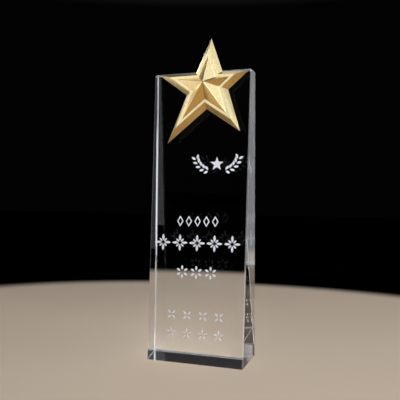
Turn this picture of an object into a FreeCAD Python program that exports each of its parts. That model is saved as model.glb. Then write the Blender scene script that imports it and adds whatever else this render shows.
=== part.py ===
import FreeCAD, Part
import math
import os
from collections import namedtuple
from FreeCAD import Placement, Rotation, Vector

# Crystal star trophy, in millimetres.
# Frame: +Z is up and the front faces -Y. The origin is the centre of the face that the trophy stands on.
# The crystal is a wedge: its back is upright and its front leans back. A gold star is bonded across the
# top of the front, and white enamel fills the ornament that is engraved below it.
# Everything on the front is laid out in "face coordinates": x is to the right, y is up the slope from
# the bottom front edge, and z is out of the crystal.

# Crystal block
FRONT_WIDTH = 80.0
BACK_WIDTH = 84.0
BASE_DEPTH = 34.5
TOP_DEPTH = 12.5
CRYSTAL_HEIGHT = 235.0
EDGE_CHAMFER = 0.8

# Star: the length and direction in degrees of each arm from the star's centre, anticlockwise
STAR_ARMS = (
    (40.3, 87.6),    # top
    (44.5, 164.6),   # left
    (57.4, 233.7),   # lower left
    (47.1, 306.2),   # lower right
    (34.9, 18.1),    # right
)
NOTCH_EASE = 0.75        # how far the notches stand out from the crossings of the star's five chords
STAR_CENTRE_X = 5.8
STAR_CENTRE_DROP = 12.6  # centre of the star below the top of the front, along the slope
STAR_RIM_HEIGHT = 5.4
STAR_PEAK_HEIGHT = 15.5
STAR_WALL_INSET = 3.6    # run of the drafted side wall, from the back to the rim
STAR_RIM_WIDTH = 2.3

# Adhesive between the star and the crystal
BOND_THICKNESS = 0.2
BOND_MARGIN = 1.2

# Engraving: every motif is cut to one depth and filled flush with enamel
ENGRAVING_DEPTH = 0.4

# Emblem: a small star between two sprays of paired leaves, each set round an arc
EMBLEM_CENTRE = (14.9, 159.8)
EMBLEM_STAR_RADIUS = 5.8
EMBLEM_STAR_WAIST = 0.42
SPRAY_BEND_CENTRE = (4.2, 8.6)
SPRAY_BEND_RADIUS = 14.0
SPRAY_LEAF_PAIRS = 5
SPRAY_FIRST_SWING = 10.0
SPRAY_SWING_STEP = 14.5
SPRAY_LEAF_SPREAD = 38.0
SPRAY_LEAF_START = 0.9
SPRAY_LEAF_END = 4.9
SPRAY_LEAF_WIDTH = 1.9

# Rows of ornament: height of the row up the front, spacing and number of its motifs
Row = namedtuple("Row", "height pitch count")
DIAMOND_ROW = Row(113.5, 7.4, 5)
TITLE_ROW = Row(96.0, 14.6, 5)
NAME_ROW = Row(72.6, 12.0, 3)
UPPER_MOTTO_ROW = Row(38.3, 13.2, 4)
LOWER_MOTTO_ROW = Row(23.8, 13.2, 4)

DIAMOND_HALF_WIDTH = 2.7
DIAMOND_HALF_HEIGHT = 4.4
DIAMOND_STROKE = 0.8

# Rings of petals: a motif is one ring or several about the same centre
Petals = namedtuple("Petals", "radius count width first_direction")
TITLE_PETALS = (Petals(6.6, 4, 1.9, 90), Petals(4.5, 4, 1.4, 45))
NAME_PETALS = (Petals(5.2, 6, 1.7, 90),)
UPPER_MOTTO_PETALS = (Petals(4.4, 4, 1.3, 45),)
LOWER_MOTTO_PETALS = (Petals(4.4, 5, 1.1, 90),)

LEAN = math.degrees(math.atan2(BASE_DEPTH - TOP_DEPTH, CRYSTAL_HEIGHT))
FRONT_LENGTH = math.hypot(CRYSTAL_HEIGHT, BASE_DEPTH - TOP_DEPTH)
FRONT_PLANE = Placement(Vector(0, -BASE_DEPTH / 2, 0), Rotation(Vector(1, 0, 0), 90 - LEAN))
STAR_SEAT = Placement(Vector(STAR_CENTRE_X, FRONT_LENGTH - STAR_CENTRE_DROP, 0), Rotation())


# ---- plane geometry ----

def polar(radius, degrees, centre=Vector()):
    angle = math.radians(degrees)
    return centre + Vector(radius * math.cos(angle), radius * math.sin(angle), 0)


def at_height(points, z):
    return [Vector(p.x, p.y, z) for p in points]


def polygon_face(points):
    return Part.Face(Part.makePolygon(list(points) + [points[0]]))


def crossing(a, b, c, d):
    """The point where the line through a and b meets the line through c and d."""
    along, other, gap = b - a, d - c, c - a
    share = (gap.x * other.y - gap.y * other.x) / (along.x * other.y - along.y * other.x)
    return a + along * share


def left_of(start, end, distance):
    """A step of the given distance to the left of the direction from start to end."""
    along = (end - start).normalize()
    return Vector(-along.y, along.x, 0) * distance


def inset(points, distance):
    """Move every edge of an anticlockwise outline inwards, keeping its corners sharp."""
    edges = []
    for i, start in enumerate(points):
        end = points[(i + 1) % len(points)]
        shift = left_of(start, end, distance)
        edges.append((start + shift, end + shift))
    return [crossing(*edges[i - 1], *edges[i]) for i in range(len(edges))]


def on_front(shape):
    """Place a shape that is drawn in face coordinates on the front of the crystal."""
    placed = shape.copy()
    placed.Placement = FRONT_PLANE.multiply(placed.Placement)
    return placed


# ---- star ----

def star_outline():
    """The outline of the star's back: tips joined by five straight chords, with eased notches."""
    tips = [polar(length, direction) for length, direction in STAR_ARMS]
    count = len(tips)
    outline = []
    for i, tip in enumerate(tips):
        following = tips[(i + 1) % count]
        notch = crossing(tip, tips[(i + 2) % count], following, tips[i - 1])
        outline += [tip, notch * (1 + NOTCH_EASE / notch.Length)]
    return outline


def star_casting():
    """A flat back, drafted walls up to a level rim, and ten facets that rise from the rim to one peak."""
    outline = star_outline()
    back = at_height(outline, BOND_THICKNESS)
    rim_outside = at_height(inset(outline, STAR_WALL_INSET), STAR_RIM_HEIGHT)
    rim_inside = at_height(inset(outline, STAR_WALL_INSET + STAR_RIM_WIDTH), STAR_RIM_HEIGHT)
    peak = Vector(0, 0, STAR_PEAK_HEIGHT)
    faces = [polygon_face(back)]
    for i in range(len(outline)):
        j = (i + 1) % len(outline)
        faces.append(polygon_face([back[i], back[j], rim_outside[j], rim_outside[i]]))
        faces.append(polygon_face([rim_outside[i], rim_outside[j], rim_inside[j], rim_inside[i]]))
        faces.append(polygon_face([rim_inside[i], rim_inside[j], peak]))
    solid = Part.Solid(Part.makeShell(faces))
    solid.Placement = STAR_SEAT
    return on_front(solid)


def star_adhesive():
    """The film under the part of the star that lies on the crystal, kept back from every edge."""
    film = polygon_face(inset(star_outline(), BOND_MARGIN)).extrude(Vector(0, 0, BOND_THICKNESS))
    film.Placement = STAR_SEAT
    film_end = FRONT_LENGTH - EDGE_CHAMFER - BOND_MARGIN
    front_area = Part.makeBox(FRONT_WIDTH, film_end, BOND_THICKNESS, Vector(-FRONT_WIDTH / 2, 0, 0))
    return on_front(film.common(front_area).Solids[0])


# ---- engraved motifs, as flat faces in face coordinates ----

def leaf(start, end, width):
    """A leaf: two arcs that meet in a point at both ends."""
    middle = (start + end) * 0.5
    bulge = left_of(start, end, width / 2)
    edges = [Part.Arc(start, middle + bulge, end).toShape(), Part.Arc(end, middle - bulge, start).toShape()]
    return Part.Face(Part.Wire(edges))


def petal_ring(centre, petals):
    """Equal leaves that radiate from a small open eye, which is just wide enough to keep them apart."""
    eye = petals.width / 2 / math.sin(math.pi / petals.count)
    directions = [petals.first_direction + 360.0 / petals.count * i for i in range(petals.count)]
    return [leaf(polar(eye, d, centre), polar(petals.radius, d, centre), petals.width) for d in directions]


def row(spec, motif):
    """The same motif repeated along a level line about the middle of the front."""
    faces = []
    for i in range(spec.count):
        faces += motif(Vector(spec.pitch * (i - (spec.count - 1) / 2), spec.height, 0))
    return faces


def petal_row(spec, rings):
    return row(spec, lambda centre: [petal for ring in rings for petal in petal_ring(centre, ring)])


def diamond_frame(centre):
    """An upright open diamond, drawn as a stroke of even width."""
    right = Vector(DIAMOND_HALF_WIDTH, 0, 0)
    top = Vector(0, DIAMOND_HALF_HEIGHT, 0)
    outside = [centre + right, centre + top, centre - right, centre - top]
    return [polygon_face(outside).cut(polygon_face(inset(outside, DIAMOND_STROKE))).Faces[0]]


def emblem_star(centre):
    points = []
    for i in range(5):
        direction = 90 + 72 * i
        points.append(polar(EMBLEM_STAR_RADIUS, direction, centre))
        points.append(polar(EMBLEM_STAR_RADIUS * EMBLEM_STAR_WAIST, direction + 36, centre))
    return polygon_face(points)


def laurel_spray(centre, side):
    """Paired leaves along an arc; side is +1 for the right-hand spray and -1 for the left."""
    bend = centre + Vector(side * SPRAY_BEND_CENTRE[0], SPRAY_BEND_CENTRE[1], 0)
    leaves = []
    for pair in range(SPRAY_LEAF_PAIRS):
        swing = -90 + side * (SPRAY_FIRST_SWING + SPRAY_SWING_STEP * pair)
        root = polar(SPRAY_BEND_RADIUS, swing, bend)
        for spread in (SPRAY_LEAF_SPREAD, -SPRAY_LEAF_SPREAD):
            heading = swing + side * 90 + spread
            start = polar(SPRAY_LEAF_START, heading, root)
            leaves.append(leaf(start, polar(SPRAY_LEAF_END, heading, root), SPRAY_LEAF_WIDTH))
    return leaves


def emblem():
    centre = Vector(*EMBLEM_CENTRE, 0)
    return [emblem_star(centre)] + laurel_spray(centre, 1) + laurel_spray(centre, -1)


def infill(faces):
    """The enamel that fills a motif, flush with the front of the crystal."""
    depth = Vector(0, 0, -ENGRAVING_DEPTH)
    return on_front(Part.makeCompound([face.extrude(depth) for face in faces]))


# ---- crystal ----

def crystal_blank():
    """The wedge: an outline seen from above, cut to the side profile, with every edge chamfered."""
    front, back, side = -BASE_DEPTH / 2, BASE_DEPTH / 2, BACK_WIDTH / 2
    plan = polygon_face([
        Vector(-FRONT_WIDTH / 2, front, 0), Vector(FRONT_WIDTH / 2, front, 0),
        Vector(side, back, 0), Vector(-side, back, 0),
    ]).extrude(Vector(0, 0, CRYSTAL_HEIGHT))
    profile = polygon_face([
        Vector(-side, front, 0), Vector(-side, back, 0),
        Vector(-side, back, CRYSTAL_HEIGHT), Vector(-side, back - TOP_DEPTH, CRYSTAL_HEIGHT),
    ]).extrude(Vector(BACK_WIDTH, 0, 0))
    wedge = plan.common(profile).Solids[0]
    return wedge.makeChamfer(EDGE_CHAMFER, wedge.Edges)


def crystal_block(infills):
    return crystal_blank().cut(Part.makeCompound(list(infills))).Solids[0]


def build():
    infills = {
        "emblem_infill": infill(emblem()),
        "diamond_row_infill": infill(row(DIAMOND_ROW, diamond_frame)),
        "title_row_infill": infill(petal_row(TITLE_ROW, TITLE_PETALS)),
        "name_row_infill": infill(petal_row(NAME_ROW, NAME_PETALS)),
        "upper_motto_infill": infill(petal_row(UPPER_MOTTO_ROW, UPPER_MOTTO_PETALS)),
        "lower_motto_infill": infill(petal_row(LOWER_MOTTO_ROW, LOWER_MOTTO_PETALS)),
    }
    return {
        "crystal_block": crystal_block(infills.values()),
        "star_casting": star_casting(),
        "star_adhesive": star_adhesive(),
        **infills,
    }


os.makedirs("parts", exist_ok=True)
for name, shape in build().items():
    shape.exportStep(os.path.join("parts", name + ".step"))
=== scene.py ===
import math

import bmesh
import bpy
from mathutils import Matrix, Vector

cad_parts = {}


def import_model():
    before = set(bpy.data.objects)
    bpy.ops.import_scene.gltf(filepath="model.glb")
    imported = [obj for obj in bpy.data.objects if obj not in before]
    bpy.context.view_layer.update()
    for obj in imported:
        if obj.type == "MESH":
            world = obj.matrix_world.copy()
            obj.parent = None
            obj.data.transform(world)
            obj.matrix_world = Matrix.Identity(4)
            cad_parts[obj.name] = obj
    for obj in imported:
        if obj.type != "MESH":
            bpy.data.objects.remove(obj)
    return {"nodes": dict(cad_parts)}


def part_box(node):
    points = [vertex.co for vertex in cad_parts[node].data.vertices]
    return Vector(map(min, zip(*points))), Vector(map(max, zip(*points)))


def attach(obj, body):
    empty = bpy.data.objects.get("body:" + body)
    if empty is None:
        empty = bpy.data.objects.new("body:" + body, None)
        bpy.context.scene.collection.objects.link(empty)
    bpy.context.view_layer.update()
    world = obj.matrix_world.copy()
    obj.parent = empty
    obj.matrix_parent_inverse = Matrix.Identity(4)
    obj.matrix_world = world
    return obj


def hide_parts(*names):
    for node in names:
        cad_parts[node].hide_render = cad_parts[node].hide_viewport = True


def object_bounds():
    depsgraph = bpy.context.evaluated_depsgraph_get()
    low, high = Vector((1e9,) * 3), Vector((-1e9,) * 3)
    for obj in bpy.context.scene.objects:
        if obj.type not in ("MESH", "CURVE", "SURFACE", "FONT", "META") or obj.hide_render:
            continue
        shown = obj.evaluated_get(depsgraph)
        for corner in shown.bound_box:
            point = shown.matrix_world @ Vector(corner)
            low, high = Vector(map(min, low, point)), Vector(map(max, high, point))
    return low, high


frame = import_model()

MM = 0.001
CAD_LOW, CAD_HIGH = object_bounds()
STAR_LOW, STAR_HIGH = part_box("star_casting")
MIDDLE = (CAD_LOW + CAD_HIGH) / 2
STAR_MIDDLE = (STAR_LOW + STAR_HIGH) / 2

STAR_EDGE = 0.22 * MM                     # how far the star's edges are rounded
GROUND_SHARE = 0.17                       # how white the crystal's ground chamfers are
CHAMFER_LIMIT = 1.25                      # a normal whose parts add up to more is a chamfer's

FLOOR_SIZE = 4.0
FLOOR_DROP = 0.2 * MM                     # keeps the floor clear of the block's base
FLOOR_SHIFT = 55 * MM                     # how far behind the trophy the floor and its painted pool of light are centred
PAINTED_POOL = (0.46, 0.29, 1.0)            # reach of the painted pool of light: metres to the sides and to front and back
FLOOR_TONE = (0.46, 0.375, 0.285)
PAINTED_REFLECTION_TINT = (0.60, 0.46, 0.20)            # painted reflection: multiplies the floor's tone in steep reflections, a warm tone the floor itself doesn't have
STEEP = math.sin(math.radians(22))

COOL = (0.985, 1.0, 1.05)                 # colours of the softboxes
WARM = (1.0, 0.62, 0.28)

DARK_BELOW, DARK = 19, (0.0008, 0.0008, 0.0009, 1)    # surroundings: degrees of height and colour
DIM_ABOVE, DIM = 27, (0.045, 0.045, 0.055, 1)

CAMERA_PLACE = Vector((129.4, -399.4, 141.1)) * MM
CAMERA_TURN = math.radians(17.967)        # how far the view turns left from +Y
CAMERA_DIP = math.radians(1.508)          # how far the view dips below level
SENSOR_MM, LENS_MM = 36.0, 46.29


# ---- node helpers ----

def new_material(name):
    material = bpy.data.materials.new(name)
    material.use_nodes = True
    nodes = material.node_tree.nodes
    nodes.clear()
    output = nodes.new("ShaderNodeOutputMaterial")
    return material, output


def node(material, kind, inputs=None, **settings):
    made = material.node_tree.nodes.new(kind)
    for key, value in settings.items():
        setattr(made, key, value)
    for key, value in (inputs or {}).items():
        if isinstance(value, bpy.types.NodeSocket):
            material.node_tree.links.new(value, made.inputs[key])
        else:
            made.inputs[key].default_value = value
    return made


def ramp(material, factor, stops, interpolation="LINEAR"):
    made = node(material, "ShaderNodeValToRGB", {"Fac": factor})
    made.color_ramp.interpolation = interpolation
    elements = made.color_ramp.elements
    while len(elements) < len(stops):
        elements.new(0.5)
    for element, (position, colour) in zip(elements, stops):
        element.position = position
        element.color = (*colour, 1.0) if len(colour) == 3 else colour
    return made


def grey(value):
    return (value, value, value)


# ---- materials ----

def chamfer_share(material):
    """How much of the surface is ground white: nothing on the faces, a part on the chamfers.

    A face of the block looks nearly along one axis, so the sizes of its normal's three parts add
    up to little more than 1; a chamfer's add up to about 1.4, and more at a corner.
    """
    normal = node(material, "ShaderNodeNewGeometry").outputs["True Normal"]
    parts = node(material, "ShaderNodeVectorMath", {0: normal}, operation="ABSOLUTE")
    total = node(material, "ShaderNodeVectorMath",
                 {0: parts.outputs[0], 1: (1.0, 1.0, 1.0)}, operation="DOT_PRODUCT")
    chamfer = node(material, "ShaderNodeMath", {0: total.outputs["Value"], 1: CHAMFER_LIMIT},
                   operation="GREATER_THAN")
    share = node(material, "ShaderNodeMath", {0: chamfer.outputs[0], 1: GROUND_SHARE},
                 operation="MULTIPLY")
    return share.outputs[0]


def crystal_material():
    """Clear glass with a faint haze and ripple and part-white chamfers; shadow rays pass it."""
    material, output = new_material("optical_crystal")
    place = node(material, "ShaderNodeTexCoord").outputs["Object"]
    haze = node(material, "ShaderNodeTexNoise", {"Vector": place, "Scale": 60.0, "Detail": 4.0})
    roughness = ramp(material, haze.outputs["Fac"], [(0.35, grey(0.0)), (0.8, grey(0.012))])
    ripple = node(material, "ShaderNodeTexNoise", {"Vector": place, "Scale": 9.0, "Detail": 1.0})
    bump = node(material, "ShaderNodeBump",
                {"Height": ripple.outputs["Fac"], "Strength": 0.02, "Distance": 0.2 * MM})
    glass = node(material, "ShaderNodeBsdfPrincipled", {
        "Base Color": (0.985, 0.992, 0.995, 1.0), "Transmission Weight": 1.0, "IOR": 1.517,
        "Roughness": roughness.outputs["Color"], "Normal": bump.outputs["Normal"]})
    ground = node(material, "ShaderNodeBsdfDiffuse", {"Color": (0.94, 0.95, 0.96, 1.0)})
    edged = node(material, "ShaderNodeMixShader",
                 {0: chamfer_share(material), 1: glass.outputs[0], 2: ground.outputs[0]})
    clear = node(material, "ShaderNodeBsdfTransparent", {"Color": (0.93, 0.94, 0.945, 1.0)})
    path = node(material, "ShaderNodeLightPath")
    mix = node(material, "ShaderNodeMixShader",
               {0: path.outputs["Is Shadow Ray"], 1: edged.outputs[0], 2: clear.outputs[0]})
    material.node_tree.links.new(mix.outputs[0], output.inputs["Surface"])
    return material


def gold_material():
    """Satin gold: soft clouds of colour with fine darker specks, and grain in shine and height."""
    material, output = new_material("satin_gold_plate")
    place = node(material, "ShaderNodeTexCoord").outputs["Object"]
    grain = node(material, "ShaderNodeTexNoise", {"Vector": place, "Scale": 2600.0, "Detail": 3.0})
    cloud = node(material, "ShaderNodeTexNoise", {"Vector": place, "Scale": 90.0, "Detail": 3.0})
    colour = ramp(material, cloud.outputs["Fac"],
                  [(0.3, (0.99, 0.81, 0.43)), (0.7, (1.0, 0.86, 0.50))])
    sparkle = node(material, "ShaderNodeTexNoise", {"Vector": place, "Scale": 1100.0, "Detail": 2.0})
    speck = ramp(material, sparkle.outputs["Fac"], [(0.38, (0.87, 0.82, 0.72)), (0.54, grey(1.0))])
    tone = node(material, "ShaderNodeVectorMath",
                {0: colour.outputs["Color"], 1: speck.outputs["Color"]}, operation="MULTIPLY")
    roughness = ramp(material, grain.outputs["Fac"], [(0.3, grey(0.24)), (0.75, grey(0.40))])
    bump = node(material, "ShaderNodeBump",
                {"Height": grain.outputs["Fac"], "Strength": 0.25, "Distance": 0.06 * MM})
    metal = node(material, "ShaderNodeBsdfPrincipled", {
        "Base Color": tone.outputs[0], "Metallic": 1.0,
        "Roughness": roughness.outputs["Color"], "Normal": bump.outputs["Normal"]})
    material.node_tree.links.new(metal.outputs[0], output.inputs["Surface"])
    return material


def enamel_material(name, light, dark):
    material, output = new_material(name)
    place = node(material, "ShaderNodeTexCoord").outputs["Object"]
    speck = node(material, "ShaderNodeTexNoise", {"Vector": place, "Scale": 1500.0, "Detail": 4.0})
    colour = ramp(material, speck.outputs["Fac"], [(0.35, dark), (0.6, light)])
    bump = node(material, "ShaderNodeBump",
                {"Height": speck.outputs["Fac"], "Strength": 0.5, "Distance": 0.08 * MM})
    matt = node(material, "ShaderNodeBsdfPrincipled", {
        "Base Color": colour.outputs["Color"], "Roughness": 0.8, "Normal": bump.outputs["Normal"]})
    material.node_tree.links.new(matt.outputs[0], output.inputs["Surface"])
    return material


def adhesive_material():
    material, output = new_material("clear_adhesive")
    place = node(material, "ShaderNodeTexCoord").outputs["Object"]
    wave = node(material, "ShaderNodeTexNoise", {"Vector": place, "Scale": 220.0, "Detail": 2.0})
    roughness = ramp(material, wave.outputs["Fac"], [(0.3, grey(0.1)), (0.8, grey(0.3))])
    film = node(material, "ShaderNodeBsdfPrincipled", {
        "Base Color": (0.9, 0.88, 0.8, 1.0), "Transmission Weight": 0.9, "IOR": 1.5,
        "Roughness": roughness.outputs["Color"]})
    material.node_tree.links.new(film.outputs[0], output.inputs["Surface"])
    return material


def floor_material():
    """A pale floor with a painted pool of light: its tone fades to black away from the centre, as
    painted light falloff.

    A steep ray from a mirror, though not one that came through glass, sees it in a warm
    tone: a painted reflection, since the floor itself is pale.
    """
    material, output = new_material("floor")
    place = node(material, "ShaderNodeTexCoord").outputs["Object"]
    across = node(material, "ShaderNodeVectorMath", {0: place, 1: PAINTED_POOL}, operation="DIVIDE")
    distance = node(material, "ShaderNodeVectorMath", {0: across.outputs[0]}, operation="LENGTH")
    # Painted light falloff: the floor's tone darkens to black towards the pool's edge, standing in
    # for a pool of lamp light.
    painted_falloff = ramp(material, distance.outputs["Value"],
                [(0.0, FLOOR_TONE), (0.86, FLOOR_TONE), (1.0, grey(0.0))], "EASE")
    path = node(material, "ShaderNodeLightPath")
    mirrored = node(material, "ShaderNodeMath", {0: path.outputs["Is Glossy Ray"],
                                                 1: path.outputs["Is Transmission Ray"]},
                    operation="SUBTRACT", use_clamp=True)
    toward = node(material, "ShaderNodeSeparateXYZ",
                  {0: node(material, "ShaderNodeNewGeometry").outputs["Incoming"]})
    steep = node(material, "ShaderNodeMath", {0: toward.outputs["Z"], 1: STEEP},
                 operation="GREATER_THAN")
    # Painted reflection: steep mirror rays that did not pass through glass see the floor in a warmer
    # tone.
    painted_reflection_mask = node(material, "ShaderNodeMath", {0: mirrored.outputs[0], 1: steep.outputs[0]},
                  operation="MULTIPLY")
    painted_reflection_ramp = ramp(material, painted_reflection_mask.outputs[0], [(0.0, grey(1.0)), (1.0, PAINTED_REFLECTION_TINT)])
    seen = node(material, "ShaderNodeVectorMath",
                {0: painted_falloff.outputs["Color"], 1: painted_reflection_ramp.outputs["Color"]}, operation="MULTIPLY")
    matt = node(material, "ShaderNodeBsdfDiffuse", {"Color": seen.outputs[0], "Roughness": 0.5})
    material.node_tree.links.new(matt.outputs[0], output.inputs["Surface"])
    return material


# ---- pieces ----

def assign(obj, material):
    obj.data.materials.clear()
    obj.data.materials.append(material)


def star_piece(material):
    """The star's own mesh with its edges rounded."""
    mesh = frame["nodes"]["star_casting"].data.copy()
    shape = bmesh.new()
    shape.from_mesh(mesh)
    bmesh.ops.remove_doubles(shape, verts=shape.verts, dist=1e-6)
    bmesh.ops.dissolve_limit(shape, angle_limit=math.radians(1), verts=shape.verts, edges=shape.edges)
    edges = [edge for edge in shape.edges if edge.calc_face_angle(0) > math.radians(2)]
    bmesh.ops.bevel(shape, geom=edges, offset=STAR_EDGE, segments=2, profile=0.6, affect="EDGES",
                    clamp_overlap=True)
    shape.to_mesh(mesh)
    shape.free()
    piece = bpy.data.objects.new("star", mesh)
    bpy.context.scene.collection.objects.link(piece)
    assign(piece, material)
    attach(piece, "root")
    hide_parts("star_casting")


def dress_frame():
    enamel = enamel_material("white_enamel", (0.86, 0.86, 0.90), (0.62, 0.62, 0.66))
    thin = enamel_material("thin_enamel", (0.84, 0.83, 0.84), (0.62, 0.61, 0.62))
    for name in ("emblem_infill", "diamond_row_infill", "title_row_infill", "name_row_infill"):
        assign(frame["nodes"][name], enamel)
    for name in ("upper_motto_infill", "lower_motto_infill"):
        assign(frame["nodes"][name], thin)
    assign(frame["nodes"]["crystal_block"], crystal_material())
    assign(frame["nodes"]["star_adhesive"], adhesive_material())


# ---- studio ----

def floor():
    bpy.ops.mesh.primitive_plane_add(size=FLOOR_SIZE, location=(0, FLOOR_SHIFT, -FLOOR_DROP))
    plane = bpy.context.object
    plane.name = "floor"
    assign(plane, floor_material())


def rig(name, star_state):
    """A light linking collection that lights the star alone, or everything but the star."""
    made = bpy.data.collections.new(name)
    made.objects.link(bpy.data.objects["star"])
    made.collection_objects[0].light_linking.link_state = star_state
    return made


def softbox(group, name, azimuth, elevation, distance, width, height, radiance,
            colour=COOL, target=MIDDLE):
    """A lamp that faces its target from the given direction and distance.

    Azimuth 0 is in front of the trophy, 90 is to its right, and both angles are in degrees.
    """
    a, e = math.radians(azimuth), math.radians(elevation)
    away = Vector((math.sin(a) * math.cos(e), -math.cos(a) * math.cos(e), math.sin(e)))
    light = bpy.data.lights.new(name, "AREA")
    light.shape = "RECTANGLE"
    light.size = width
    light.size_y = height
    light.energy = radiance * math.pi * width * height
    light.color = colour
    lamp = bpy.data.objects.new(name, light)
    lamp.location = target + away * distance
    lamp.rotation_euler = away.to_track_quat("Z", "Y").to_euler()
    lamp.visible_camera = False
    lamp.light_linking.receiver_collection = group
    bpy.context.scene.collection.objects.link(lamp)


def room_lights():
    """The softboxes for the crystal, the marks and the floor."""
    room = rig("everything_but_the_star", "EXCLUDE")
    softbox(room, "key_right", 42, 32, 0.9, 0.6, 0.6, 7.0)
    softbox(room, "front_high", -20, 48, 0.9, 0.72, 0.4, 1.9)
    softbox(room, "front_strip", -8.5, 33, 0.9, 0.05, 0.42, 0.8)
    softbox(room, "front_low", 29.7, 3, 0.55, 0.06, 0.32, 0.9)
    softbox(room, "side_right", 100, 43, 0.9, 0.40, 0.40, 1.2)
    softbox(room, "low_left", -85, -3, 0.43, 0.3, 0.2, 0.5)
    softbox(room, "low_right", 84, -1, 0.43, 0.3, 0.22, 0.8)
    softbox(room, "back_left", -135, 27, 0.9, 0.38, 0.28, 1.2)
    softbox(room, "back_top_left", -170, 50, 0.9, 0.3, 0.26, 0.8)
    softbox(room, "back_top_right", 128, 59, 0.9, 0.3, 0.26, 1.2)
    softbox(room, "back_right", 157, 5, 0.52, 0.10, 0.36, 0.75)
    softbox(room, "back_line", 178.3, 5, 0.44, 0.03, 0.36, 0.42)
    softbox(room, "back_glow", 172, 5, 0.50, 0.08, 0.36, 0.03)


def star_lights():
    """The softboxes for the star, each in the mirror direction of some of its faces."""
    alone = rig("only_the_star", "INCLUDE")
    softbox(alone, "star_key", 42, 32, 0.9, 0.6, 0.6, 4.9)
    softbox(alone, "star_front_high", -20, 48, 0.9, 0.72, 0.4, 1.35)
    softbox(alone, "star_front", -18, 22, 0.9, 0.34, 0.40, 1.0)
    softbox(alone, "star_front_left", -48, 21, 0.9, 0.46, 0.3, 2.75)
    softbox(alone, "star_left", -95, 16, 0.9, 0.3, 0.26, 3.2)
    softbox(alone, "star_back_left", -131, 15, 0.9, 0.48, 0.28, 3.4)
    softbox(alone, "star_back_high", -143, 22, 0.9, 0.2, 0.2, 4.5)
    softbox(alone, "star_back_top", -170, 50, 0.9, 0.3, 0.26, 0.77)
    softbox(alone, "star_right", 98, 40, 0.9, 0.4, 0.4, 1.27)
    softbox(alone, "star_low_left", -87, -8, 0.42, 0.26, 0.20, 1.33)
    softbox(alone, "star_low_right", 82, -3, 0.43, 0.3, 0.2, 0.55)
    softbox(alone, "star_warm_left", -103, -42, 0.26, 0.14, 0.13, 1.25, WARM, STAR_MIDDLE)
    softbox(alone, "star_warm_right", 80, -54, 0.23, 0.14, 0.12, 0.36, WARM, STAR_MIDDLE)


def world():
    """Nearly black surroundings, a little lighter overhead."""
    made = bpy.data.worlds.new("studio")
    bpy.context.scene.world = made
    made.use_nodes = True
    nodes, links = made.node_tree.nodes, made.node_tree.links
    direction = nodes.new("ShaderNodeTexCoord")
    split = nodes.new("ShaderNodeSeparateXYZ")
    climb = nodes.new("ShaderNodeValToRGB")
    low, high = climb.color_ramp.elements
    low.position, low.color = math.sin(math.radians(DARK_BELOW)), DARK
    high.position, high.color = math.sin(math.radians(DIM_ABOVE)), DIM
    links.new(direction.outputs["Generated"], split.inputs[0])
    links.new(split.outputs["Z"], climb.inputs["Fac"])
    links.new(climb.outputs["Color"], nodes["Background"].inputs["Color"])


def camera():
    data = bpy.data.cameras.new("camera")
    data.sensor_width = SENSOR_MM
    data.lens = LENS_MM
    made = bpy.data.objects.new("camera", data)
    made.location = CAMERA_PLACE
    look = Vector((-math.sin(CAMERA_TURN) * math.cos(CAMERA_DIP),
                   math.cos(CAMERA_TURN) * math.cos(CAMERA_DIP),
                   -math.sin(CAMERA_DIP)))
    made.rotation_euler = look.to_track_quat("-Z", "Y").to_euler()
    bpy.context.scene.collection.objects.link(made)
    bpy.context.scene.camera = made
    bpy.context.scene.view_settings.view_transform = "Standard"


dress_frame()
star_piece(gold_material())
floor()
world()
room_lights()
star_lights()
camera()
